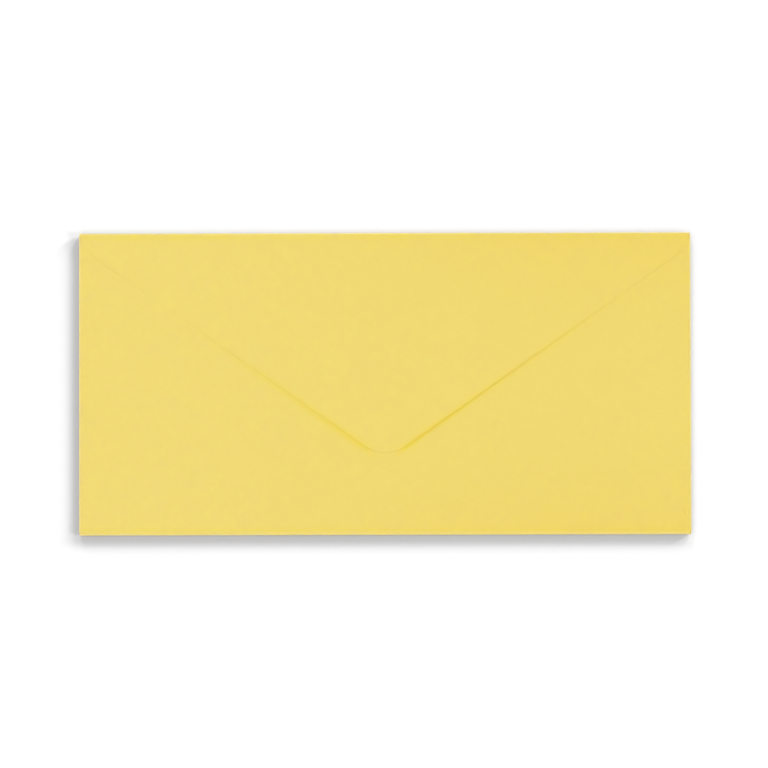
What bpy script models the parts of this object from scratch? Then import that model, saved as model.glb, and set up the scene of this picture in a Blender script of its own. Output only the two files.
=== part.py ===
"""Business envelope of DL size with a deep pointed flap: one die-cut sheet of dyed paper, folded and gummed.

The blank is drawn flat, with its inside up, scored where it bends, folded over and given its thickness.
It lies on its front panel, with the flap on top and closed but not stuck down. Lengths are in metres.
+X runs along the envelope, +Y towards the fold of the flap, +Z up. The origin is under its middle.
"""

import math

import bmesh
import bpy

# The finished envelope, outside its folds
LENGTH = 0.220
HEIGHT = 0.110

# The paper, the film of gum in a seam, and the room left inside a fold and under the flap
PAPER = 0.00018
GUM_FILM = 0.00003
SIDE_FOLD_INSIDE = 0.00027
FLAP_CLEARANCE = 0.00006

# The pointed flap. Depths are taken down from the top fold, and insets from the side folds.
FLAP_DEPTH = 0.0802
TIP_RADIUS = 0.013
SHOULDER_DEPTH = 0.0070
SHOULDER_INSET = 0.0032
SHOULDER_RADIUS = 0.005
FLAP_BASE_INSET = 0.0004

# The back panel, which is the bottom of the blank folded up
BACK_INSET = 0.0010
BACK_BASE_INSET = 0.0004
BACK_BASE_TAPER = 0.0040
BACK_TOP_GAP = 0.0013
BACK_CORNER_RADIUS = 0.0015
THROAT_DIP = 0.0127
THROAT_SHOULDER = 0.0060
THROAT_RUN = 0.0260

# The two side flaps, which are folded in first and glued under the back panel
SIDE_FLAP_WIDTH = 0.0190
SIDE_FLAP_TOP_GAP = 0.0012
SIDE_FLAP_TOP_TAPER = 0.0100
SIDE_FLAP_BOTTOM_GAP = 0.0004
SIDE_FLAP_BOTTOM_TAPER = 0.0045
SIDE_FLAP_RADIUS = 0.0040
SEAM_WIDTH = 0.0080
SEAM_END_MARGIN = 0.0060

# How far the corners of the front panel run on into both folds, as an angle of each fold
CORNER_EAR = math.radians(50)

# How the sheet springs: the front panel's rim off the table, the pocket's crown, and the flap's free edges
RIM_LIFT = 0.00030
RIM_RUN = 0.018
CROWN = 0.00045
CROWN_RUN_ACROSS = 0.055
CROWN_RUN_UP = 0.042
FLAP_EDGE_LIFT = 0.00030
FLAP_EDGE_RUN = 0.011
FLAP_TIP_REACH = 0.006

# How finely the sheet is divided. The contours lie this far inside the flap's two straight edges.
PANEL_STEP = 0.0080
BEND_STEPS = 8
CORNER_STEPS = 6
TIP_STEPS = 12
THROAT_STEPS = 10
FLAP_CONTOURS = (0.003, 0.007, 0.012, 0.019, 0.030)
SHORTEST_CUT = 1e-6

# Radii of the middle of the paper in the three kinds of fold, each wrapping one layer more than the last
SIDE_BEND = SIDE_FOLD_INSIDE + PAPER / 2
BOTTOM_BEND = SIDE_BEND + (PAPER + GUM_FILM) / 2
TOP_BEND = BOTTOM_BEND + (PAPER + FLAP_CLEARANCE) / 2

# Where the flat front panel ends and a fold begins, to the middle of the paper
SIDE_CREASE = LENGTH / 2 - PAPER / 2 - SIDE_BEND
BOTTOM_CREASE = -HEIGHT / 2 + PAPER / 2 + BOTTOM_BEND
TOP_CREASE = HEIGHT / 2 - PAPER / 2 - TOP_BEND
RIM_LEVEL = PAPER / 2 + RIM_LIFT

# Where each fold ends on the flat blank
SIDE_FOLD_END = SIDE_CREASE + math.pi * SIDE_BEND
BOTTOM_FOLD_END = BOTTOM_CREASE - math.pi * BOTTOM_BEND
TOP_FOLD_END = TOP_CREASE + math.pi * TOP_BEND

PAPER_YELLOW = (0.80, 0.62, 0.15, 1.0)
PAPER_ROUGHNESS = 0.85


def smooth_step(share):
    """Rises from 0 to 1 with level ends."""
    held = min(max(share, 0.0), 1.0)
    return held * held * (3 - 2 * held)


def flat_of_flap(depth):
    """Height on the flat blank of a point on the flap, this far below the top fold once folded."""
    return TOP_FOLD_END + depth - (HEIGHT / 2 - TOP_CREASE)


def flat_of_back(y):
    """Height on the flat blank of a point on the back panel, at this Y once folded."""
    return BOTTOM_FOLD_END - (y - BOTTOM_CREASE)


def flat_of_side(inset):
    """Distance from the middle of the flat blank of a point on a side flap, this far inside the side fold."""
    return SIDE_FOLD_END + inset - (LENGTH / 2 - SIDE_CREASE)


def apex_depth():
    """Depth at which the flap's two straight edges would meet, if the tip weren't rounded.

    Each edge runs from the corner of the shoulder and touches the circle of the tip.
    """
    centre = FLAP_DEPTH - TIP_RADIUS
    across = LENGTH / 2 - SHOULDER_INSET
    reach = math.hypot(across, SHOULDER_DEPTH - centre)
    towards_shoulder = math.atan2(SHOULDER_DEPTH - centre, across)
    touch = towards_shoulder + math.acos(TIP_RADIUS / reach)
    return centre + TIP_RADIUS / math.sin(touch)


def flap_slope():
    """How much deeper each straight edge of the flap gets for each metre towards the middle."""
    return (apex_depth() - SHOULDER_DEPTH) / (LENGTH / 2 - SHOULDER_INSET)


def throat_points(half_width):
    """The back panel's free edge, from its right corner to the middle: level, down a soft slope, and level."""
    top = HEIGHT / 2 - BACK_TOP_GAP
    start = half_width - THROAT_SHOULDER
    points = []
    for step in range(THROAT_STEPS + 1):
        share = step / THROAT_STEPS
        points.append((start - share * THROAT_RUN, flat_of_back(top - THROAT_DIP * smooth_step(share))))
    return points


def right_half_corners():
    """Corners of the blank's right half from the flap's apex to the throat, each with its radius and steps."""
    shoulder = LENGTH / 2 - SHOULDER_INSET
    flap_base = LENGTH / 2 - FLAP_BASE_INSET
    back_base = LENGTH / 2 - BACK_BASE_INSET
    back = LENGTH / 2 - BACK_INSET
    ear_across = SIDE_CREASE + CORNER_EAR * SIDE_BEND
    ear_top = TOP_CREASE + CORNER_EAR * TOP_BEND
    ear_bottom = BOTTOM_CREASE - CORNER_EAR * BOTTOM_BEND
    side_top = TOP_CREASE - SIDE_FLAP_TOP_GAP
    side_bottom = BOTTOM_CREASE + SIDE_FLAP_BOTTOM_GAP
    side_end = flat_of_side(SIDE_FLAP_WIDTH)
    corners = [
        (0.0, flat_of_flap(apex_depth()), TIP_RADIUS, TIP_STEPS),
        (shoulder, flat_of_flap(SHOULDER_DEPTH), SHOULDER_RADIUS, CORNER_STEPS),
        (flap_base, TOP_FOLD_END, 0, 0),
        (flap_base, ear_top, 0, 0),
        (ear_across, ear_top, 0, 0),
        (ear_across, side_top, 0, 0),
        (side_end, side_top - SIDE_FLAP_TOP_TAPER, SIDE_FLAP_RADIUS, CORNER_STEPS),
        (side_end, side_bottom + SIDE_FLAP_BOTTOM_TAPER, SIDE_FLAP_RADIUS, CORNER_STEPS),
        (ear_across, side_bottom, 0, 0),
        (ear_across, ear_bottom, 0, 0),
        (back_base, ear_bottom, 0, 0),
        (back_base, BOTTOM_FOLD_END, 0, 0),
        (back, flat_of_back(-HEIGHT / 2 + BACK_BASE_TAPER), 0, 0),
        (back, flat_of_back(HEIGHT / 2 - BACK_TOP_GAP), BACK_CORNER_RADIUS, CORNER_STEPS),
    ]
    corners += [(across, along, 0, 0) for across, along in throat_points(back)]
    return corners


def rounded_corner(before, corner, after, radius, steps):
    """Points of the arc that rounds a corner, touching the lines to the corners before and after it."""
    to_before = math.atan2(before[1] - corner[1], before[0] - corner[0])
    to_after = math.atan2(after[1] - corner[1], after[0] - corner[0])
    opening = math.remainder(to_after - to_before, math.tau)
    middle = to_before + opening / 2
    distance = radius / math.sin(abs(opening) / 2)
    centre = (corner[0] + distance * math.cos(middle), corner[1] + distance * math.sin(middle))
    sweep = math.copysign(math.pi - abs(opening), -opening)
    points = []
    for step in range(steps + 1):
        angle = middle + math.pi + sweep * (step / steps - 0.5)
        points.append((centre[0] + radius * math.cos(angle), centre[1] + radius * math.sin(angle)))
    return points


def blank_outline():
    """The die's cutting line round the whole flat blank."""
    right = right_half_corners()
    left = [(-across, along, radius, steps) for across, along, radius, steps in reversed(right[1:])]
    corners = right + left
    outline = []
    for index, (across, along, radius, steps) in enumerate(corners):
        if radius:
            before = corners[index - 1]
            after = corners[(index + 1) % len(corners)]
            outline += rounded_corner(before, (across, along), after, radius, steps)
        else:
            outline.append((across, along))
    return outline


def even_lines(start, end):
    """Places that divide a panel evenly, about one panel step apart, with both its ends."""
    count = max(1, round(abs(end - start) / PANEL_STEP))
    return [start + (end - start) * step / count for step in range(count + 1)]


def bend_lines(start, end):
    """Places that divide a fold finely, without its two ends."""
    return [start + (end - start) * step / BEND_STEPS for step in range(1, BEND_STEPS)]


def lines_across():
    """Where the blank is divided from left to right: the same places on both sides of the middle."""
    right = even_lines(0, SIDE_CREASE)
    right += bend_lines(SIDE_CREASE, SIDE_FOLD_END)
    right += even_lines(SIDE_FOLD_END, flat_of_side(SIDE_FLAP_WIDTH))[:-1]
    return right + [-place for place in right if place]


def lines_along():
    """Where the blank is divided from the end of the back panel to the tip of the flap."""
    back = even_lines(flat_of_back(HEIGHT / 2 - BACK_TOP_GAP), BOTTOM_FOLD_END)[1:]
    front = even_lines(BOTTOM_CREASE, TOP_CREASE)
    flap = even_lines(TOP_FOLD_END, flat_of_flap(FLAP_DEPTH))[:-1]
    folds = bend_lines(BOTTOM_FOLD_END, BOTTOM_CREASE) + bend_lines(TOP_CREASE, TOP_FOLD_END)
    return back + front + flap + folds


def bend(distance, crease, radius):
    """Where a point of the blank lands, past a crease that turns it up and back over a bend.

    Returns its place, how far it has risen and how far it has turned.
    """
    past = distance - crease
    if past <= 0:
        return distance, 0.0, 0.0
    turned = min(past / radius, math.pi)
    back = max(past - math.pi * radius, 0.0)
    return crease + radius * math.sin(turned) - back, radius * (1 - math.cos(turned)), turned


def rim_lift(x, y):
    """Height of the front panel over the table: level in the middle, rising to its folds."""
    inside = smooth_step((SIDE_CREASE - abs(x)) / RIM_RUN)
    inside *= smooth_step((y - BOTTOM_CREASE) / RIM_RUN)
    inside *= smooth_step((TOP_CREASE - y) / RIM_RUN)
    return RIM_LIFT * (1 - inside)


def crown(x, y):
    """Extra height of the upper layers over the pocket: nothing over the seams and folds, full in the middle."""
    pocket_edge = LENGTH / 2 - SIDE_FLAP_WIDTH
    share = smooth_step((pocket_edge - abs(x)) / CROWN_RUN_ACROSS)
    share *= smooth_step((y - BOTTOM_CREASE) / CROWN_RUN_UP)
    share *= smooth_step((TOP_CREASE - y) / CROWN_RUN_UP)
    return CROWN * share


def flap_edge_lift(x, y):
    """How far the flap's free edges stand off the back panel: more towards the tip, which itself lies down."""
    depth = HEIGHT / 2 - y
    slope = flap_slope()
    from_edge = max(apex_depth() - slope * abs(x) - depth, 0.0) / math.hypot(1, slope)
    off_centre = 1 - math.exp(-((x / FLAP_TIP_REACH) ** 2))
    return FLAP_EDGE_LIFT * depth / FLAP_DEPTH * off_centre * math.exp(-from_edge / FLAP_EDGE_RUN)


def folded(across, along):
    """Where a point of the flat blank lies once the blank is folded, in the middle of the paper."""
    x, rise_side, turned_side = bend(abs(across), SIDE_CREASE, SIDE_BEND)
    x = math.copysign(x, across)
    over_top = along > TOP_CREASE
    if over_top:
        y, rise_end, turned_end = bend(along, TOP_CREASE, TOP_BEND)
    else:
        y, rise_end, turned_end = bend(-along, -BOTTOM_CREASE, BOTTOM_BEND)
        y = -y
    if not turned_side and not turned_end:
        return x, y, PAPER / 2 + rim_lift(x, y)
    z = RIM_LEVEL + rise_side + rise_end
    if turned_end == math.pi:
        z += crown(x, y)
        if over_top:
            z += flap_edge_lift(x, y)
    return x, y, z


def paper_material():
    material = bpy.data.materials.new("yellow_paper")
    material.use_nodes = True
    shader = material.node_tree.nodes["Principled BSDF"]
    shader.inputs["Base Color"].default_value = PAPER_YELLOW
    shader.inputs["Roughness"].default_value = PAPER_ROUGHNESS
    shader.inputs["Metallic"].default_value = 0.0
    material.diffuse_color = PAPER_YELLOW
    return material


def divide(sheet, faces, point, direction):
    """Cuts the given faces of the flat sheet along the line through a point, square to a direction."""
    edges = {edge for face in faces for edge in face.edges}
    verts = {vert for face in faces for vert in face.verts}
    geometry = [*verts, *edges, *faces]
    bmesh.ops.bisect_plane(sheet, geom=geometry, dist=SHORTEST_CUT, plane_co=point, plane_no=direction)


def divide_flap(sheet):
    """Cuts the flap along lines beside its two straight edges, which its springing edges then follow."""
    slope = flap_slope()
    for side in (-1, 1):
        for distance in FLAP_CONTOURS:
            depth = apex_depth() - distance * math.hypot(1, slope)
            centres = [(face, face.calc_center_median()) for face in sheet.faces]
            half = [face for face, centre in centres if centre.y > TOP_FOLD_END and centre.x * side > 0]
            divide(sheet, half, (0, flat_of_flap(depth), 0), (side * slope, 1, 0))


def folded_sheet():
    """The middle of the paper as a surface: the blank cut out, scored and folded."""
    sheet = bmesh.new()
    sheet.faces.new([sheet.verts.new((across, along, 0)) for across, along in blank_outline()])
    sheet.normal_update()
    if next(iter(sheet.faces)).normal.z < 0:
        bmesh.ops.reverse_faces(sheet, faces=sheet.faces[:])
    for place in lines_across():
        divide(sheet, sheet.faces[:], (place, 0, 0), (1, 0, 0))
    for place in lines_along():
        divide(sheet, sheet.faces[:], (0, place, 0), (0, 1, 0))
    divide_flap(sheet)
    bmesh.ops.triangulate(sheet, faces=sheet.faces[:])
    for vertex in sheet.verts:
        vertex.co = folded(vertex.co.x, vertex.co.y)
    for edge in sheet.edges:
        edge.smooth = not edge.is_boundary
    for face in sheet.faces:
        face.smooth = True
    mesh = bpy.data.meshes.new("envelope")
    sheet.to_mesh(mesh)
    sheet.free()
    return mesh


def seam_gum(side):
    """The line of gum along the middle of a side flap, reaching halfway into it and into the back panel."""
    middle = LENGTH / 2 - SIDE_FLAP_WIDTH / 2
    bottom = BOTTOM_CREASE + SIDE_FLAP_BOTTOM_GAP + SIDE_FLAP_BOTTOM_TAPER + SEAM_END_MARGIN
    top = TOP_CREASE - SIDE_FLAP_TOP_GAP - SIDE_FLAP_TOP_TAPER - SEAM_END_MARGIN
    low = RIM_LEVEL + 2 * SIDE_BEND
    high = RIM_LEVEL + 2 * BOTTOM_BEND
    gum = bmesh.new()
    bmesh.ops.create_cube(gum, size=1)
    for vertex in gum.verts:
        vertex.co.x = side * middle + vertex.co.x * SEAM_WIDTH
        vertex.co.y = (top + bottom) / 2 + vertex.co.y * (top - bottom)
        vertex.co.z = (low + high) / 2 + vertex.co.z * (high - low)
    mesh = bpy.data.meshes.new("seam_gum")
    gum.to_mesh(mesh)
    gum.free()
    return mesh


def add_object(name, mesh):
    item = bpy.data.objects.new(name, mesh)
    bpy.context.scene.collection.objects.link(item)
    return item


def build_envelope():
    envelope = add_object("envelope", folded_sheet())
    envelope.data.materials.append(paper_material())
    thickness = envelope.modifiers.new("paper_thickness", "SOLIDIFY")
    thickness.thickness = PAPER
    thickness.offset = 0
    thickness.use_even_offset = True
    thickness.use_quality_normals = True
    for name, side in (("left", -1), ("right", 1)):
        gum = add_object(f"seam_gum_{name}", seam_gum(side))
        gum.hide_render = True
        gum.display_type = "WIRE"
        join = envelope.modifiers.new(f"glue_{name}_seam", "BOOLEAN")
        join.operation = "UNION"
        join.solver = "EXACT"
        join.object = gum
    return envelope


def main():
    for leftover in list(bpy.data.objects):
        bpy.data.objects.remove(leftover)
    build_envelope()


main()
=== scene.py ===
"""Looks of the yellow business envelope: its folded sheet of paper, the floor, the light and the camera.

The sheet is worked out on its flat blank, across and along it, and then folded by a formula.
Lengths are in metres. +X runs along the envelope, +Y towards the fold of the flap, +Z up.
"""

import math

import bpy
import numpy as np
from mathutils import Euler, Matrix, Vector


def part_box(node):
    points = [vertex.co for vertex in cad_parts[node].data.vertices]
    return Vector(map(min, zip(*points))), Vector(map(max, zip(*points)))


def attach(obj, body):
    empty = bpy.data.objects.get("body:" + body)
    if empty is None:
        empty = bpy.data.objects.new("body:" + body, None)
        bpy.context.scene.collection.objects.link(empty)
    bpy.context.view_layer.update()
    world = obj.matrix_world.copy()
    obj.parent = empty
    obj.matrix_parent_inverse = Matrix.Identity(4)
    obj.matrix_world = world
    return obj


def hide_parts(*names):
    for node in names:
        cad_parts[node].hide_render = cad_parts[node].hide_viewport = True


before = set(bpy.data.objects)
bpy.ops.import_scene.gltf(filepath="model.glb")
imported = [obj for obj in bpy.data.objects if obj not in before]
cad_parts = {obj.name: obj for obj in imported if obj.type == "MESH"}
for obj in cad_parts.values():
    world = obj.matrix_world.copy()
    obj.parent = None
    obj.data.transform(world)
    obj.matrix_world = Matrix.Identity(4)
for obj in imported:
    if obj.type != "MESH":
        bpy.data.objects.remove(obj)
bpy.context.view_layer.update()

# The finished envelope, from the frame
low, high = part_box("envelope")
LENGTH = high.x - low.x
HEIGHT = high.y - low.y

# The paper and the room that its folds wrap
PAPER = 0.00018
GUM_FILM = 0.00003
SIDE_FOLD_INSIDE = 0.00027
FLAP_CLEARANCE = 0.00006

# The pointed flap. Depths are taken down from the top fold, and insets from the side folds.
FLAP_DEPTH = 0.0802
TIP_RADIUS = 0.013
SHOULDER_DEPTH = 0.0070
SHOULDER_INSET = 0.0032
SHOULDER_RADIUS = 0.005
FLAP_BASE_INSET = 0.0003

# The back panel and its free edge, the throat
BACK_INSET = 0.0010
BACK_BASE_INSET = 0.0004
BACK_BASE_TAPER = 0.0040
BACK_TOP_GAP = 0.0013
BACK_CORNER_RADIUS = 0.0015
THROAT_DIP = 0.0127
THROAT_SHOULDER = 0.0060
THROAT_RUN = 0.0260

# The side flaps under the back panel
SIDE_FLAP_WIDTH = 0.0190
SIDE_FLAP_TOP_GAP = 0.0005
SIDE_FLAP_TOP_TAPER = 0.0100
SIDE_FLAP_BOTTOM_GAP = 0.0004
SIDE_FLAP_BOTTOM_TAPER = 0.0045
SIDE_FLAP_RADIUS = 0.0040

# How far the front panel's corners run on into both folds
CORNER_EAR = math.radians(50)

# How the sheet springs: the front panel's rim, and the crown of the layers over it
RIM_LIFT = 0.00030
RIM_RUN = 0.018
CROWN = 0.00045
CROWN_RUN_ACROSS = 0.055
CROWN_RUN_UP = 0.042

# How the flap's free edges stand off, less on the left, and how far the flap settles past its fold
FLAP_EDGE_LIFT = 0.00010
FLAP_EDGE_RUN = 0.011
FLAP_TIP_REACH = 0.006
FLAP_LIFT_START = 0.004
FLAP_LIFT_GROWTH = 1.6
LEFT_LIFT_SHARE = 0.55
SIDES_MEET = 0.008
FLAP_SETTLE = 0.00005
FLAP_SETTLE_RUN = 0.008

# The golden line of painted shade beside the flap: how far past the edge it lies, its half width, the depths
# between which it comes in, and the distances from the middle line between which it does so too. On the left
# it is wider and fainter, and starts deeper.
LINE_PLACE = 0.0003
LINE_WIDTH = 0.0010
LEFT_LINE_WIDTH = 0.0014
LEFT_LINE_SHARE = 0.8
LINE_START = 0.018
LEFT_LINE_START = 0.032
LINE_FULL = 0.080
LINE_OFF_TIP = (0.002, 0.009)

# The painted shading: between which places from left to right it grows, its share at half height, and what
# the two long folds add to that
SHADING_START = -0.090
SHADING_END = 0.075
SHADING_SHARE = 0.35
SHADING_FOLD_SHARE = 0.7

# Each fold's crest, pale from wear and painted highlight: how far it reaches over the paper, and how pale it
# gets
WEAR_AND_HIGHLIGHT_REACH = 0.0008
WEAR_AND_HIGHLIGHT_SHARE = 0.6

# The painted shade beside the two long folds: how far in from the outline, its half width and its mean share
CREASE_PLACE = 0.0016
CREASE_WIDTH = 0.0010
CREASE_SHARE = 0.30

# A small slanting dent near the lower right corner: its middle, half length, half width and turn, how much
# its painted highlight and shade change the tone, and how much it changes the height
DENT_PLACE = (0.1069, -0.0470)
DENT_LENGTH = 0.0008
DENT_WIDTH = 0.00038
DENT_TURN = math.radians(-65)
DENT_PAINTED_LIGHT = 0.22
DENT_HEIGHT = 4.0

# Noise, as its features a metre, its detail and its roughness: the fibres, the soft clouds between them, and
# the patches in which the painted shade beside the long folds comes and goes
FIBRE_NOISE = (2600, 3, 0.6)
CLOUD_NOISE = (220, 4, 0.55)
PATCH_NOISE = (30, 2, 0.5)

# The fibres are two layers of noise. Each is squeezed by a share, which draws it out into streaks across the
# blank, and then turned, so that the two differ. The middles are the levels that leave the tone as it is.
FIBRE_LAYERS = ((0.16, 0.5), (0.2, -0.7))
FIBRE_MIDDLE = 0.56
CLOUD_MIDDLE = 0.5

# How finely the sheet is worked out: even columns with closer ones beside the edges, cells over the panels
# and near the folds, and steps round each arc. Then the step over which a slope is taken, the distance under
# which two points are one, and the angle over which an edge stays sharp.
COLUMNS = 112
EDGE_COLUMNS = (0.00015, 0.00035, 0.0007, 0.0013)
EDGE_SHARE = 0.3
PANEL_CELL = 0.0019
FOLD_CELL = 0.0005
FOLD_MARGIN = 0.0040
EAR_STEPS = 4
FOLD_STEPS = 10
ARC_STEPS = 14
BASE_STEPS = 5
SLOPE_STEP = 2e-6
SAME_PLACE = 1e-8
SHARP_ANGLE = math.radians(50)

# The folds, as radii of the middle of the paper, and where they begin and end on the blank
SIDE_BEND = SIDE_FOLD_INSIDE + PAPER / 2
BOTTOM_BEND = SIDE_BEND + (PAPER + GUM_FILM) / 2
TOP_BEND = BOTTOM_BEND + (PAPER + FLAP_CLEARANCE) / 2
SIDE_CREASE = LENGTH / 2 - PAPER / 2 - SIDE_BEND
BOTTOM_CREASE = -HEIGHT / 2 + PAPER / 2 + BOTTOM_BEND
TOP_CREASE = HEIGHT / 2 - PAPER / 2 - TOP_BEND
SIDE_FOLD_END = SIDE_CREASE + math.pi * SIDE_BEND
BOTTOM_FOLD_END = BOTTOM_CREASE - math.pi * BOTTOM_BEND
TOP_FOLD_END = TOP_CREASE + math.pi * TOP_BEND
RIM_LEVEL = PAPER / 2 + RIM_LIFT

# The camera looks almost straight down, from a little towards the bottom of the envelope
CAMERA_TILT = math.radians(9.4)
CAMERA_ROLL = math.radians(0.14)
CAMERA_DISTANCE = 8.7
CAMERA_LENS = 1134.0
CAMERA_SENSOR = 36.0
CAMERA_REACH = 100.0
CAMERA_AIM = (-0.00037, 0.0001, 0.0)

# The light. Each lamp has its height over the floor, its bearing from +X towards +Y and its width, all in
# degrees, then its power or, for a floor lamp, the level that it gives the floor. The floor lamps reach only
# the floor: a wide fan of low ones about the upper right, for the envelope's soft drop shadow, two weak ones
# on the left and one overhead.
WHITE = (1.0, 1.0, 1.0, 1.0)
SKY_STRENGTH = 0.92
FLOOR_TONE = 0.22
FLOOR_SIZE = 6.0
SOFT_LAMP = (60, 112, 30, 0.44)
FLOOR_LAMPS = (
    (17, -15, 12, 0.144),
    (10.5, 30, 12, 0.193),
    (13, 60, 12, 0.158),
    (13, 105, 12, 0.124),
    (18, 180, 24, 0.047),
    (28, 240, 24, 0.074),
    (90, 0, 20, 0.065),
)

# The paper's colours: paler on the left, with painted shading deeper towards the right and both long folds,
# painted shade golden beside the flap, and pale on the crests, from wear and a painted highlight, and on the
# cut edge. Then how far red, green and blue scatter in it, and its matt surface.
PALE_YELLOW = (0.960, 0.716, 0.200, 1)
SHADED_YELLOW = (0.960, 0.688, 0.162, 1)
SHADE_LINE_YELLOW = (0.945, 0.690, 0.085, 1)
WORN_AND_HIGHLIGHT_YELLOW = (0.955, 0.760, 0.360, 1)
CUT_EDGE_YELLOW = (0.96, 0.78, 0.27, 1)
SCATTER_WEIGHT = 1.0
SCATTER_REACH = (0.00025, 0.00025, 0.00003)
PAPER_ROUGHNESS = 0.88
PAPER_GLOSS = 0.3

# How much the fibres and the clouds change the tone and how strong the relief is, on the panels and on the
# cut edge, and how high the relief is
PANEL_GRAIN = (0.05, 0.008, 0.25)
EDGE_GRAIN = (0.2, 0.04, 0.5)
RELIEF_HEIGHT = 0.00004

# The kinds of the node groups' sockets
VECTOR = "NodeSocketVector"
NUMBER = "NodeSocketFloat"


def smooth_step(share):
    """Rises from 0 to 1 with level ends: three squares less two cubes."""
    held = np.clip(share, 0.0, 1.0)
    return held * held * (3 - 2 * held)


def flat_of_flap(depth):
    """Where a depth down the flap, taken from the top fold, lies along the blank."""
    return TOP_FOLD_END + depth - (HEIGHT / 2 - TOP_CREASE)


def flat_of_side(inset):
    """Where an inset over the right side flap, taken from the side fold, lies across the blank."""
    return SIDE_FOLD_END + inset - (LENGTH / 2 - SIDE_CREASE)


def tip_touch():
    """Angle round the tip's circle, from straight across, at which the right straight edge touches it."""
    reach = math.hypot(LENGTH / 2 - SHOULDER_INSET, SHOULDER_DEPTH - FLAP_DEPTH + TIP_RADIUS)
    towards_shoulder = math.atan2(SHOULDER_DEPTH - FLAP_DEPTH + TIP_RADIUS, LENGTH / 2 - SHOULDER_INSET)
    return towards_shoulder + math.acos(TIP_RADIUS / reach)


def apex_depth():
    """The depth at which the flap's two straight edges would meet."""
    return FLAP_DEPTH - TIP_RADIUS + TIP_RADIUS / math.sin(tip_touch())


def flap_slope():
    """How much deeper the flap's straight edges get for each metre towards the middle line."""
    return (apex_depth() - SHOULDER_DEPTH) / (LENGTH / 2 - SHOULDER_INSET)


def even_steps(start, end, cell):
    """Evenly spaced places from start to end, about one cell apart."""
    return np.linspace(start, end, max(2, 1 + round(abs(end - start) / cell)))


def panel_rows(start, end):
    """Places over a panel, fine beside the fold at its start and coarse further on."""
    side = math.copysign(FOLD_MARGIN, end - start)
    fine = even_steps(start, start + side, FOLD_CELL)
    return np.concatenate([fine[:-1], even_steps(start + side, end, PANEL_CELL)])


def fold_angles():
    """Angles through a fold, with one at the end of the corner ears."""
    ear = np.linspace(0, CORNER_EAR, EAR_STEPS + 1)
    rest = np.linspace(CORNER_EAR, math.pi, FOLD_STEPS + 1)
    return np.concatenate([ear, rest[1:]])


def round_points(centre, radius, angles):
    """Points round a circle, at angles from straight across."""
    return centre + radius * np.stack([np.cos(angles), np.sin(angles)], axis=-1)


def flap_outline():
    """Half widths and depths down the flap's right edge: base, round shoulder, straight edge and round tip.

    The shoulder is a circle that touches the side and the straight edge. The tip is a circle about a point
    on the middle line.
    """
    corner = np.array([LENGTH / 2 - SHOULDER_INSET, SHOULDER_DEPTH])
    base = np.array([LENGTH / 2 - FLAP_BASE_INSET, HEIGHT / 2 - TOP_CREASE])
    tip_centre = np.array([0, FLAP_DEPTH - TIP_RADIUS])
    nose = round_points(tip_centre, TIP_RADIUS, np.linspace(tip_touch(), math.pi / 2, ARC_STEPS))
    nose[-1, 0] = 0.0
    tip = nose[0]
    up = (base - corner) / np.linalg.norm(base - corner)
    down = (tip - corner) / np.linalg.norm(tip - corner)
    half = math.acos(float(up @ down)) / 2
    middle = (up + down) / np.linalg.norm(up + down)
    centre = corner + middle * SHOULDER_RADIUS / math.sin(half)
    run = SHOULDER_RADIUS / math.tan(half)
    first, last = corner + up * run - centre, corner + down * run - centre
    turn = math.atan2(last[1], last[0]) - math.atan2(first[1], first[0])
    angles = math.atan2(first[1], first[0]) + turn * np.linspace(0, 1, ARC_STEPS)
    shoulder = round_points(centre, SHOULDER_RADIUS, angles)
    side = base + (shoulder[0] - base) * np.linspace(0, 1, BASE_STEPS + 1)[:, None]
    count = 1 + round(float(np.linalg.norm(tip - shoulder[-1])) / PANEL_CELL)
    straight = shoulder[-1] + (tip - shoulder[-1]) * np.linspace(0, 1, count)[:, None]
    return np.concatenate([side[:-1], shoulder[:-1], straight[:-1], nose])


def throat(across):
    """Height of the back panel's free edge: level at the sides, down a soft slope to a level middle.

    Its two outer corners are quarter circles.
    """
    half = LENGTH / 2 - BACK_INSET
    inwards = (half - THROAT_SHOULDER - np.abs(across)) / THROAT_RUN
    into_corner = np.clip((np.abs(across) - half + BACK_CORNER_RADIUS) / BACK_CORNER_RADIUS, 0, 1)
    corner = BACK_CORNER_RADIUS * (1 - np.sqrt(1 - into_corner ** 2))
    return HEIGHT / 2 - BACK_TOP_GAP - THROAT_DIP * smooth_step(inwards) - corner


def row_places(halves):
    """Places across each row: even columns, with closer ones beside both its ends.

    The close columns keep their distances from the end, but take up at most a share of a short row.
    """
    halves = halves[:, None]
    squeezed = np.minimum(1, EDGE_SHARE * halves / EDGE_COLUMNS[-1])
    close = halves - squeezed * np.array((0.0,) + EDGE_COLUMNS)
    even = close[:, -1:] * np.linspace(-1, 1, COLUMNS + 1)[1:-1]
    return np.concatenate([-close, even, close[:, ::-1]], axis=1)


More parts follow.
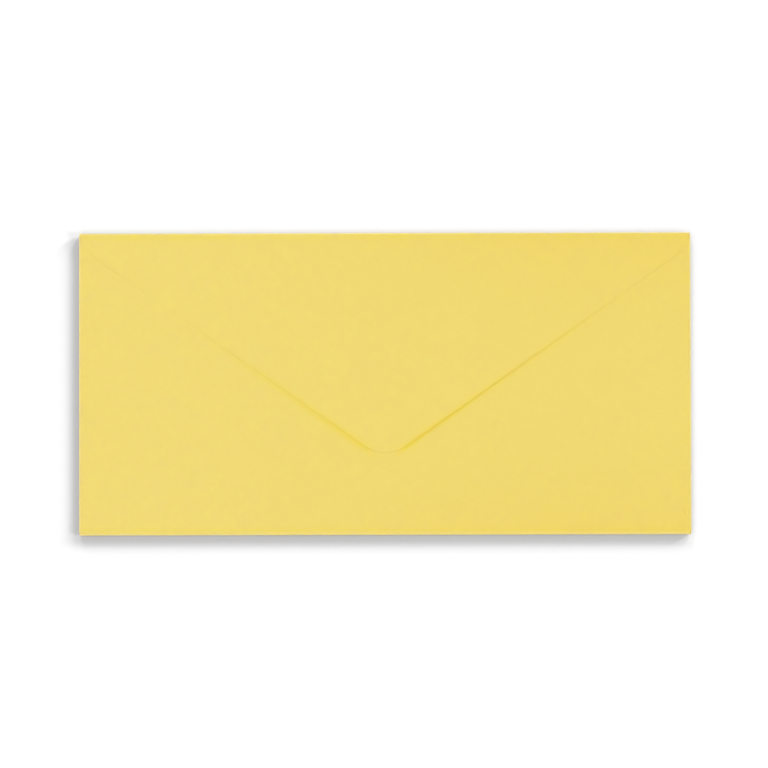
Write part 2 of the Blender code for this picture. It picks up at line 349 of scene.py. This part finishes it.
def middle_strip():
    """The back panel, the front panel and the flap, with the folds between them, as one grid on the blank.

    The back panel's rows are drawn out to meet the throat.
    """
    turned = fold_angles()
    ear = turned <= CORNER_EAR
    from_base = panel_rows(0.0, HEIGHT - BACK_TOP_GAP)[1:][::-1]
    share = from_base / (HEIGHT - BACK_TOP_GAP)
    widening = np.clip(from_base / BACK_BASE_TAPER, 0, 1)
    back_half = LENGTH / 2 - BACK_BASE_INSET + (BACK_BASE_INSET - BACK_INSET) * widening
    back_across = row_places(back_half)
    reach = throat(back_across) - BOTTOM_CREASE
    back_along = BOTTOM_FOLD_END - reach * share[:, None]

    bottom_half = np.where(ear, SIDE_CREASE, LENGTH / 2 - BACK_BASE_INSET)[::-1]
    bottom_along = (BOTTOM_CREASE - turned * BOTTOM_BEND)[::-1]
    front_along = front_rows()[1:-1]
    top_half = np.where(ear, SIDE_CREASE, LENGTH / 2 - FLAP_BASE_INSET)
    top_along = TOP_CREASE + turned * TOP_BEND
    flap = flap_outline()[1:]

    halves = np.concatenate([bottom_half, np.full(len(front_along), SIDE_CREASE), top_half, flap[:, 0]])
    alongs = np.concatenate([bottom_along, front_along, top_along, flat_of_flap(flap[:, 1])])
    across = np.concatenate([back_across, row_places(halves)])
    along = np.concatenate([back_along, np.repeat(alongs[:, None], across.shape[1], axis=1)])
    return np.stack([across, along], axis=-1)


def front_rows():
    """Places up the front panel, fine beside both its folds."""
    middle = (BOTTOM_CREASE + TOP_CREASE) / 2
    lower = panel_rows(BOTTOM_CREASE, middle)
    upper = panel_rows(TOP_CREASE, middle)
    return np.concatenate([lower, upper[:-1][::-1]])


def right_side():
    """The right side fold and side flap, as a grid on the flat blank that starts on the front panel's edge.

    Past the corner ears, each column is squeezed between the flap's two slanting ends, with round corners.
    """
    turned = fold_angles()
    fold = SIDE_CREASE + turned * SIDE_BEND
    end = flat_of_side(SIDE_FLAP_WIDTH)
    flap = even_steps(SIDE_FOLD_END, end, PANEL_CELL)[1:]
    across = np.concatenate([fold, flap])
    outside_ear = np.concatenate([turned > CORNER_EAR, np.ones(len(flap), bool)])
    ear_end = SIDE_CREASE + CORNER_EAR * SIDE_BEND
    share = np.clip((across - ear_end) / (end - ear_end), 0, 1)
    into_corner = np.clip((across - end + SIDE_FLAP_RADIUS) / SIDE_FLAP_RADIUS, 0, 1)
    corner = SIDE_FLAP_RADIUS * (1 - np.sqrt(1 - into_corner ** 2))
    low_end = BOTTOM_CREASE + outside_ear * (SIDE_FLAP_BOTTOM_GAP + SIDE_FLAP_BOTTOM_TAPER * share + corner)
    high_end = TOP_CREASE - outside_ear * (SIDE_FLAP_TOP_GAP + SIDE_FLAP_TOP_TAPER * share + corner)
    rows = front_rows()
    height = (rows - BOTTOM_CREASE) / (TOP_CREASE - BOTTOM_CREASE)
    along = low_end + (high_end - low_end) * height[:, None]
    along[:, ~outside_ear] = rows[:, None]
    return np.stack([np.broadcast_to(across, along.shape), along], axis=-1)


def right_ear(top):
    """The right corner of the front panel where it runs on into the side fold and into an end fold."""
    turned = fold_angles()[: EAR_STEPS + 1]
    across = SIDE_CREASE + turned * SIDE_BEND
    if top:
        along = TOP_CREASE + turned * TOP_BEND
    else:
        along = (BOTTOM_CREASE - turned * BOTTOM_BEND)[::-1]
    return np.stack(np.meshgrid(across, along), axis=-1)


def mirrored(grid):
    """The same grid on the other side of the middle line, still facing the same way."""
    return grid[:, ::-1] * [-1, 1]


def bend(distance, crease, radius):
    """Place, rise and turn of points past a crease: round an arc of the radius, then straight back."""
    past = distance - crease
    turned = np.clip(past / radius, 0, math.pi)
    back = np.maximum(past - math.pi * radius, 0)
    place = np.where(past > 0, crease + radius * np.sin(turned) - back, distance)
    return place, radius * (1 - np.cos(turned)), turned


def off_long_folds(y, run):
    """Rises from 0 at each long fold to 1 at a run from it."""
    return smooth_step((y - BOTTOM_CREASE) / run) * smooth_step((TOP_CREASE - y) / run)


def rim_lift(x, y):
    """How far the front panel springs up: most along its four folds, and nothing at a run from them."""
    inside = smooth_step((SIDE_CREASE - np.abs(x)) / RIM_RUN) * off_long_folds(y, RIM_RUN)
    return RIM_LIFT * (1 - inside)


def crown(x, y):
    """How far the layers over the front panel bulge: most in the middle, nothing at folds and side seams."""
    across = smooth_step((LENGTH / 2 - SIDE_FLAP_WIDTH - np.abs(x)) / CROWN_RUN_ACROSS)
    return CROWN * across * off_long_folds(y, CROWN_RUN_UP)


def flap_rise(x, y):
    """0 at the flap's shoulders and under the middle of its tip, growing to 1 along its edges near it."""
    depth = HEIGHT / 2 - y
    off_centre = 1 - np.exp(-((x / FLAP_TIP_REACH) ** 2))
    share = np.clip((depth - FLAP_LIFT_START) / (FLAP_DEPTH - FLAP_LIFT_START), 0, 1)
    return share ** FLAP_LIFT_GROWTH * off_centre


def from_flap_edge(x, y):
    """How far in a place is from the flap's straight edges or, in its round tip, from the tip's circle."""
    slope = flap_slope()
    straight = np.maximum(apex_depth() - slope * np.abs(x) - HEIGHT / 2 + y, 0) / math.hypot(1, slope)
    below = HEIGHT / 2 - y - FLAP_DEPTH + TIP_RADIUS
    in_tip = below > np.abs(x) * math.tan(tip_touch())
    return np.where(in_tip, TIP_RADIUS - np.hypot(x, below), straight)


def flap_edge_lift(x, y):
    """How far the flap's free edges stand off the back panel: more near the tip, and more on the right."""
    side = LEFT_LIFT_SHARE + (1 - LEFT_LIFT_SHARE) * smooth_step(0.5 + x / SIDES_MEET / 2)
    return FLAP_EDGE_LIFT * side * flap_rise(x, y) * np.exp(-from_flap_edge(x, y) / FLAP_EDGE_RUN)


def folded(flat):
    """Where points of the flat blank lie once it is folded, in the middle of the paper.

    Across and along each follow the bend of their fold. The front panel has its rim's lift. The layers that
    lie back over it have the crown, and the flap has the lift of its edges too, and settles past its fold.
    """
    across, along = flat[:, 0], flat[:, 1]
    x, rise_side, turned_side = bend(np.abs(across), SIDE_CREASE, SIDE_BEND)
    x = np.copysign(x, across)
    y_top, rise_top, turned_top = bend(along, TOP_CREASE, TOP_BEND)
    y_bottom, rise_bottom, turned_bottom = bend(-along, -BOTTOM_CREASE, BOTTOM_BEND)
    y = np.where(along > 0, y_top, -y_bottom)
    on_front = (turned_side == 0) & (turned_top == 0) & (turned_bottom == 0)
    z = np.where(on_front, PAPER / 2 + rim_lift(x, y), RIM_LEVEL + rise_side + rise_top + rise_bottom)
    z = z + crown(x, y) * ((turned_top == math.pi) | (turned_bottom == math.pi))
    settled = FLAP_SETTLE * smooth_step((TOP_CREASE - y) / FLAP_SETTLE_RUN)
    z = z + (flap_edge_lift(x, y) - settled) * (turned_top == math.pi)
    return np.stack([x, y, z], axis=1)


def sheet_normals(flat):
    """Which way the inside of the paper faces: the cross product of its slopes across and along."""
    slope_across = folded(flat + [SLOPE_STEP, 0]) - folded(flat - [SLOPE_STEP, 0])
    slope_along = folded(flat + [0, SLOPE_STEP]) - folded(flat - [0, SLOPE_STEP])
    normal = np.cross(slope_across, slope_along)
    return normal / np.linalg.norm(normal, axis=1, keepdims=True)


def cells(rows, columns, start):
    """Corner numbers of the cells of a grid whose points are counted row by row."""
    corner = start + np.arange(rows - 1)[:, None] * columns + np.arange(columns - 1)
    return np.stack([corner, corner + 1, corner + columns + 1, corner + columns], axis=-1).reshape(-1, 4)


def joined_grids(grids):
    """All the grids as one sheet: points that fall together on the flat blank become one."""
    faces, start = [], 0
    for grid in grids:
        faces.append(cells(grid.shape[0], grid.shape[1], start))
        start += grid.shape[0] * grid.shape[1]
    points = np.concatenate([grid.reshape(-1, 2) for grid in grids])
    keys = np.round(points / SAME_PLACE).astype(np.int64)
    _, first, number = np.unique(keys, axis=0, return_index=True, return_inverse=True)
    return points[first], number.reshape(-1)[np.concatenate(faces)]


def rim_of(faces, count):
    """The cut edge of a sheet, as pairs of points: the sides of faces that no other face shares."""
    starts = faces.reshape(-1)
    ends = np.roll(faces, -1, axis=1).reshape(-1)
    real = starts != ends
    starts, ends = starts[real], ends[real]
    alone = ~np.isin(starts * count + ends, ends * count + starts)
    return starts[alone], ends[alone]


def distance_to_fold(flat):
    """How far each point of the blank is from the middle of the nearest fold."""
    across, along = np.abs(flat[:, 0]), flat[:, 1]
    to_side = np.abs(across - (SIDE_CREASE + SIDE_FOLD_END) / 2)
    to_side = np.where((along > BOTTOM_FOLD_END) & (along < TOP_FOLD_END), to_side, LENGTH)
    to_top = np.abs(along - (TOP_CREASE + TOP_FOLD_END) / 2)
    to_bottom = np.abs(along - (BOTTOM_CREASE + BOTTOM_FOLD_END) / 2)
    return np.minimum(np.minimum(to_top, to_bottom), to_side)


def paper_sheet():
    """The folded sheet with its thickness, as one closed mesh.

    Both faces stand half the paper's thickness off the middle of the sheet, along its normal, and a rim of
    narrow faces closes them along the cut edge.
    """
    side, low_ear, high_ear = right_side(), right_ear(False), right_ear(True)
    grids = [middle_strip(), side, mirrored(side), low_ear, mirrored(low_ear), high_ear, mirrored(high_ear)]
    flat, faces = joined_grids(grids)
    count = len(flat)
    starts, ends = rim_of(faces, count)
    middle, normal = folded(flat), sheet_normals(flat)
    points = np.concatenate([middle - normal * PAPER / 2, middle + normal * PAPER / 2])
    rim = np.stack([starts, ends, ends + count, starts + count], axis=1)
    shut = faces[:, 2] == faces[:, 3]
    quads = np.concatenate([faces[~shut][:, ::-1], faces[~shut] + count, rim])
    triangles = np.concatenate([faces[shut][:, 2::-1], faces[shut][:, :3] + count])
    mesh = bpy.data.meshes.new("paper_sheet")
    mesh.from_pydata(points.tolist(), [], quads.tolist() + triangles.tolist())
    is_rim = np.zeros(len(mesh.polygons), np.int32)
    is_rim[len(quads) - len(rim):len(quads)] = 1
    mesh.polygons.foreach_set("material_index", is_rim)
    from_fold = mesh.attributes.new("from_fold", "FLOAT", "POINT")
    from_fold.data.foreach_set("value", np.tile(distance_to_fold(flat), 2).astype(np.float32))
    corners = np.empty(len(mesh.loops), np.int32)
    mesh.loops.foreach_get("vertex_index", corners)
    blank = mesh.uv_layers.new(name="blank")
    blank.data.foreach_set("uv", np.tile(flat, (2, 1))[corners].astype(np.float32).reshape(-1))
    mesh.validate()
    mesh.shade_smooth()
    mesh.set_sharp_from_angle(angle=SHARP_ANGLE)
    return mesh


def add_object(name, data):
    """A new object in the scene, made of a mesh, a lamp or a camera."""
    item = bpy.data.objects.new(name, data)
    bpy.context.scene.collection.objects.link(item)
    return item


def new_material(name):
    """A material with an empty Principled shader, and the two."""
    material = bpy.data.materials.new(name)
    material.use_nodes = True
    return material, material.node_tree, material.node_tree.nodes["Principled BSDF"]


def feed(tree, socket, value):
    """Gives an input a plain value or another node's output."""
    if isinstance(value, bpy.types.NodeSocket):
        tree.links.new(value, socket)
    else:
        socket.default_value = value


def add_node(tree, kind, settings=None, **values):
    """A node of the kind, with its settings and what its named inputs get."""
    node = tree.nodes.new(kind)
    for name, value in (settings or {}).items():
        setattr(node, name, value)
    for name, value in values.items():
        feed(tree, node.inputs[name.replace("_", " ")], value)
    return node


def math_node(tree, operation, *inputs):
    """The output of a Math node whose inputs are each a number or another node's output."""
    node = add_node(tree, "ShaderNodeMath", {"operation": operation})
    for number, value in enumerate(inputs):
        feed(tree, node.inputs[number], value)
    return node.outputs[0]


def bell_of(tree, value):
    """A bell curve of another node's output: e to the power of minus its square."""
    squared = math_node(tree, "MULTIPLY", value, value)
    return math_node(tree, "EXPONENT", math_node(tree, "MULTIPLY", squared, -1))


def ramp_of(tree, value, start, end, shape="SMOOTHSTEP"):
    """0 before the start, 1 past the end and a ramp between them, of another node's output."""
    bounds = {"Value": value, "From_Min": start, "From_Max": end}
    return add_node(tree, "ShaderNodeMapRange", {"interpolation_type": shape}, **bounds).outputs["Result"]


def parts_of(tree, vector):
    """The three numbers of a vector."""
    return add_node(tree, "ShaderNodeSeparateXYZ", Vector=vector).outputs


def noise_of(tree, place, scale, detail, roughness):
    """Soft noise about a level of a half."""
    values = {"Vector": place, "Scale": scale, "Detail": detail, "Roughness": roughness}
    return add_node(tree, "ShaderNodeTexNoise", **values).outputs["Fac"]


def mixed(tree, share, first, second):
    """A mix of two colours, each plain or another node's output, by a share that changes over the paper."""
    node = add_node(tree, "ShaderNodeMix", {"data_type": "RGBA"}, Factor=share)
    feed(tree, node.inputs[6], first)
    feed(tree, node.inputs[7], second)
    return node.outputs[2]


def new_group(name, inputs, outputs):
    """A node group, what it is given and what it has to make. Each socket has a name and a kind."""
    group = bpy.data.node_groups.new(name, "ShaderNodeTree")
    for way, sockets in (("INPUT", inputs), ("OUTPUT", outputs)):
        for socket, kind in sockets:
            group.interface.new_socket(socket, in_out=way, socket_type=kind)
    return group, group.nodes.new("NodeGroupInput").outputs, group.nodes.new("NodeGroupOutput").inputs


def use_group(tree, group, **values):
    """What a node group makes of the values."""
    return add_node(tree, "ShaderNodeGroup", {"node_tree": group}, **values).outputs


def fibre_group():
    """Paper fibres: two layers of fine streaks over soft cloudy patches.

    Tone is near 1 and varies a little. Height is the small relief of the felted surface.
    """
    inputs = (("Place", VECTOR), ("Streaks", NUMBER), ("Clouds", NUMBER))
    group, given, made = new_group("paper_fibres", inputs, (("Tone", NUMBER), ("Height", NUMBER)))
    place = given["Place"]
    layers = []
    for squeeze, turn in FIBRE_LAYERS:
        lie = {"Rotation": (0, 0, turn), "Scale": (squeeze, 1, 1)}
        drawn = add_node(group, "ShaderNodeMapping", Vector=place, **lie)
        layers.append(noise_of(group, drawn.outputs["Vector"], *FIBRE_NOISE))
    felt = math_node(group, "MAXIMUM", *layers)
    cloud_part = math_node(group, "SUBTRACT", noise_of(group, place, *CLOUD_NOISE), CLOUD_MIDDLE)
    streak_part = math_node(group, "SUBTRACT", felt, FIBRE_MIDDLE)
    tone = math_node(group, "MULTIPLY_ADD", cloud_part, given["Clouds"], 1.0)
    feed(group, made["Tone"], math_node(group, "MULTIPLY_ADD", streak_part, given["Streaks"], tone))
    feed(group, made["Height"], felt)
    return group


def painted_shading_mask(group, x, y):
    """Painted shading: grows from left to right, and with the square of the distance from half height."""
    off_middle = math_node(group, "MULTIPLY", y, 2 / HEIGHT)
    beside_folds = math_node(group, "MULTIPLY", off_middle, off_middle)
    share = math_node(group, "MULTIPLY_ADD", beside_folds, SHADING_FOLD_SHARE, SHADING_SHARE)
    return math_node(group, "MULTIPLY", ramp_of(group, x, SHADING_START, SHADING_END), share)


def flap_shade_mask(group, x, y):
    """Painted shade along the flap's straight edges: strongest near the tip, gone at the shoulders and
    mid-tip.
    """
    slope = flap_slope()
    aside = math_node(group, "ABSOLUTE", x)
    inside = math_node(group, "MULTIPLY_ADD", aside, slope, HEIGHT / 2 - apex_depth())
    past_edge = math_node(group, "DIVIDE", math_node(group, "SUBTRACT", inside, y), math.hypot(1, slope))
    right = math_node(group, "GREATER_THAN", x, 0)
    width = math_node(group, "MULTIPLY_ADD", right, LINE_WIDTH - LEFT_LINE_WIDTH, LEFT_LINE_WIDTH)
    strength = math_node(group, "MULTIPLY_ADD", right, 1 - LEFT_LINE_SHARE, LEFT_LINE_SHARE)
    start = math_node(group, "MULTIPLY_ADD", right, LINE_START - LEFT_LINE_START, LEFT_LINE_START)
    centred = math_node(group, "DIVIDE", math_node(group, "SUBTRACT", past_edge, LINE_PLACE), width)
    bell = math_node(group, "MULTIPLY", bell_of(group, centred), strength)
    depth = math_node(group, "SUBTRACT", HEIGHT / 2, y)
    line = math_node(group, "MULTIPLY", bell, ramp_of(group, depth, start, LINE_FULL, "LINEAR"))
    return math_node(group, "MULTIPLY", line, ramp_of(group, aside, *LINE_OFF_TIP))


def fold_shade_mask(group, y, place):
    """A faint bell of painted shade beside each long fold, which comes and goes along it."""
    from_outline = math_node(group, "SUBTRACT", HEIGHT / 2 - CREASE_PLACE, math_node(group, "ABSOLUTE", y))
    crease = bell_of(group, math_node(group, "DIVIDE", from_outline, CREASE_WIDTH))
    uneven = math_node(group, "MULTIPLY", noise_of(group, place, *PATCH_NOISE), 2 * CREASE_SHARE)
    return math_node(group, "MULTIPLY", crease, uneven)


def dent_relief_and_shading(group, place):
    """A long bell, raised along its left side and sunk along its right: as tone, painted highlight and
    shade.
    """
    size = (DENT_LENGTH, DENT_WIDTH, 1)
    lie = {"Location": (*DENT_PLACE, 0), "Rotation": (0, 0, DENT_TURN), "Scale": size}
    dent = add_node(group, "ShaderNodeMapping", {"vector_type": "TEXTURE"}, Vector=place, **lie)
    along, aside, _ = parts_of(group, dent.outputs["Vector"])
    bell = math_node(group, "MULTIPLY", bell_of(group, along), bell_of(group, aside))
    return math_node(group, "MULTIPLY", bell, math_node(group, "MULTIPLY", aside, -1))


def shading_and_wear_group():
    """Where painted shade and pale, worn crests go, as three masks, and the height of one small dent.

    Painted Shading is the slow painted shading over the envelope. Painted Edge Shade holds the golden
    painted shade lines of the outer layer. Worn Crest Highlight is a bell over the crest of each fold, for
    wear and a painted highlight. Dent is the dent near the lower right corner, also painted lighter and
    darker on its two sides.
    """
    masks = (("Painted Shading", NUMBER), ("Line", NUMBER), ("Worn Crest Highlight", NUMBER), ("Dent", NUMBER))
    group, given, made = new_group("paper_shading_and_wear", (("Place", VECTOR), ("From Fold", NUMBER)), masks)
    place = given["Place"]
    x, y, z = parts_of(group, place)
    on_top = math_node(group, "GREATER_THAN", z, 2 * SIDE_BEND)
    # Painted shade lines beside the flap's edges and beside the long folds
    painted_shade_lines = math_node(group, "ADD", flap_shade_mask(group, x, y), fold_shade_mask(group, y, place))
    worn_and_highlight = bell_of(group, math_node(group, "DIVIDE", given["From Fold"], WEAR_AND_HIGHLIGHT_REACH))
    # Painted shading over the envelope, deeper towards the right and both long folds
    feed(group, made["Painted Shading"], painted_shading_mask(group, x, y))
    feed(group, made["Line"], math_node(group, "MULTIPLY", painted_shade_lines, on_top))
    # Wear and a painted highlight along the crest of each fold
    feed(group, made["Worn Crest Highlight"], math_node(group, "MULTIPLY", worn_and_highlight, WEAR_AND_HIGHLIGHT_SHARE))
    # The dent, as relief and as painted highlight and shade
    feed(group, made["Dent"], math_node(group, "MULTIPLY", dent_relief_and_shading(group, place), on_top))
    return group


def paper_material(name, fibres, shading_and_wear, colours, grain_values):
    """Dyed uncoated paper: matt, a little translucent, fibres in tone and fine bump, painted shade and
    highlights.
    """
    pale, shaded, shade_line_colour, worn_and_highlight = colours
    streaks, clouds, relief = grain_values
    material, tree, shader = new_material(name)
    blank = add_node(tree, "ShaderNodeUVMap", {"uv_map": "blank"}).outputs["UV"]
    place = tree.nodes.new("ShaderNodeTexCoord").outputs["Object"]
    from_fold = add_node(tree, "ShaderNodeAttribute", {"attribute_name": "from_fold"}).outputs["Fac"]
    tones = use_group(tree, shading_and_wear, Place=place, From_Fold=from_fold)
    grain = use_group(tree, fibres, Place=blank, Streaks=streaks, Clouds=clouds)
    # Painted shading: paler on the left, deeper towards the right and both long folds
    colour = mixed(tree, tones["Painted Shading"], pale, shaded)
    # Painted shade: golden lines beside the flap's edges and the long folds
    colour = mixed(tree, tones["Line"], colour, shade_line_colour)
    # Pale crests of the folds: wear, and a painted highlight
    colour = mixed(tree, tones["Worn Crest Highlight"], colour, worn_and_highlight)
    # The dent's painted light: a highlight along its left side and shade along its right
    tone = math_node(tree, "MULTIPLY_ADD", tones["Dent"], DENT_PAINTED_LIGHT, grain["Tone"])
    height = math_node(tree, "MULTIPLY_ADD", tones["Dent"], DENT_HEIGHT, grain["Height"])
    tint = add_node(tree, "ShaderNodeVectorMath", {"operation": "SCALE"}, Scale=tone)
    feed(tree, tint.inputs[0], colour)
    bump = add_node(tree, "ShaderNodeBump", Strength=relief, Distance=RELIEF_HEIGHT, Height=height)
    feed(tree, shader.inputs["Base Color"], tint.outputs[0])
    feed(tree, shader.inputs["Normal"], bump.outputs["Normal"])
    shader.inputs["Roughness"].default_value = PAPER_ROUGHNESS
    shader.inputs["Specular IOR Level"].default_value = PAPER_GLOSS
    shader.inputs["Subsurface Weight"].default_value = SCATTER_WEIGHT
    shader.inputs["Subsurface Radius"].default_value = SCATTER_REACH
    shader.inputs["Subsurface Scale"].default_value = 1.0
    return material


def add_floor():
    """A plain white floor under the envelope."""
    corners = np.array([[-1, -1, 0], [1, -1, 0], [1, 1, 0], [-1, 1, 0]]) * FLOOR_SIZE / 2
    mesh = bpy.data.meshes.new("floor")
    mesh.from_pydata(corners.tolist(), [], [[0, 1, 2, 3]])
    material, _, shader = new_material("floor_white")
    shader.inputs["Base Color"].default_value = (FLOOR_TONE, FLOOR_TONE, FLOOR_TONE, 1)
    shader.inputs["Roughness"].default_value = 1.0
    shader.inputs["Specular IOR Level"].default_value = 0.0
    mesh.materials.append(material)
    floor = add_object("floor", mesh)
    return floor


def add_lamp(name, height, bearing, width, power):
    """A far lamp, given by its three angles in degrees and its power."""
    lamp = bpy.data.lights.new(name, "SUN")
    lamp.energy = power
    lamp.angle = math.radians(width)
    item = add_object(name, lamp)
    height, bearing = math.radians(height), math.radians(bearing)
    level = math.cos(height)
    towards = Vector((math.cos(bearing) * level, math.sin(bearing) * level, math.sin(height)))
    item.rotation_euler = towards.to_track_quat("Z", "Y").to_euler()
    return item


def floor_power(height, level):
    """How strong a lamp at a height in degrees has to be, to light the matt floor to a level by itself."""
    return level * math.pi / (FLOOR_TONE * math.sin(math.radians(height)))


def add_light(floor):
    """An even white sky, a soft lamp beyond the top edge, and the floor's own lamps."""
    world = bpy.data.worlds.new("sky")
    world.use_nodes = True
    background = world.node_tree.nodes["Background"]
    background.inputs["Color"].default_value = WHITE
    background.inputs["Strength"].default_value = SKY_STRENGTH
    bpy.context.scene.world = world
    add_lamp("soft_lamp", *SOFT_LAMP)
    lit = bpy.data.collections.new("lit_by_floor_lamps")
    lit.objects.link(floor)
    for number, (height, bearing, width, level) in enumerate(FLOOR_LAMPS, start=1):
        lamp = add_lamp(f"floor_lamp_{number}", height, bearing, width, floor_power(height, level))
        lamp.light_linking.receiver_collection = lit


def add_camera():
    """A long lens from far off, tilted a little from straight down."""
    lens = bpy.data.cameras.new("camera")
    lens.lens = CAMERA_LENS
    lens.sensor_width = CAMERA_SENSOR
    lens.clip_end = CAMERA_REACH
    camera = add_object("camera", lens)
    rotation = Euler((CAMERA_TILT, 0, 0)).to_matrix() @ Euler((0, 0, -CAMERA_ROLL)).to_matrix()
    camera.rotation_euler = rotation.to_euler()
    camera.location = Vector(CAMERA_AIM) + rotation @ Vector((0, 0, CAMERA_DISTANCE))
    bpy.context.scene.camera = camera


def main():
    """The folded sheet with its two finishes, then the floor, the light and the camera."""
    envelope = add_object("folded_sheet", paper_sheet())
    fibres, shading_and_wear = fibre_group(), shading_and_wear_group()
    panel_colours = (PALE_YELLOW, SHADED_YELLOW, SHADE_LINE_YELLOW, WORN_AND_HIGHLIGHT_YELLOW)
    edge_colours = (CUT_EDGE_YELLOW, CUT_EDGE_YELLOW, SHADE_LINE_YELLOW, WORN_AND_HIGHLIGHT_YELLOW)
    envelope.data.materials.append(paper_material("dyed_paper", fibres, shading_and_wear, panel_colours, PANEL_GRAIN))
    envelope.data.materials.append(paper_material("cut_edge", fibres, shading_and_wear, edge_colours, EDGE_GRAIN))
    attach(envelope, "root")
    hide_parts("envelope")
    floor = add_floor()
    add_light(floor)
    add_camera()
    bpy.context.scene.view_settings.view_transform = "Standard"


main()
